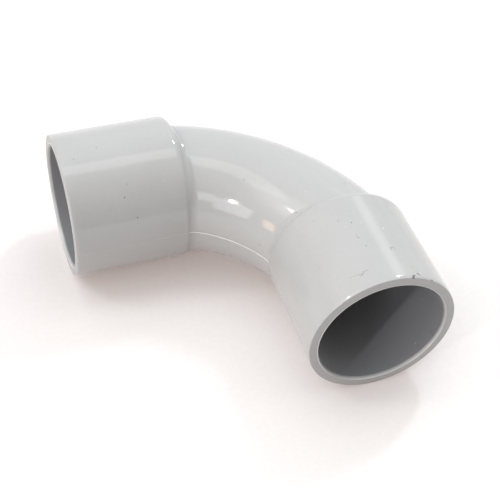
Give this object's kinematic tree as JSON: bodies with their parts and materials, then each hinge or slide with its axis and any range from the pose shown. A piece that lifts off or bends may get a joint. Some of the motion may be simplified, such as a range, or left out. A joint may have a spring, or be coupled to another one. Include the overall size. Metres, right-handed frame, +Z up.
{
  "type": "pvc conduit elbow",
  "caption": "Grey rigid PVC sweep elbow for electrical conduit: a smooth right-angle curved tube between straight solvent-cement sockets, each with a rounded shoulder.",
  "frame": {"origin": "centre of the elbow's bounding box at its lowest level, on the surface that it lies on", "axes": "+Z up, normal to the plane of the bend; the left socket opens along -X and the right socket along -Y"},
  "size_m": [0.065, 0.065, 0.0295],
  "materials": {
    "grey_pvc": "smooth moulded light grey rigid PVC with a soft gloss"
  },
  "bodies": {
    "root": {"left_socket": "grey_pvc", "sweep_bend": "grey_pvc", "right_socket": "grey_pvc"}
  },
  "joints": []
}
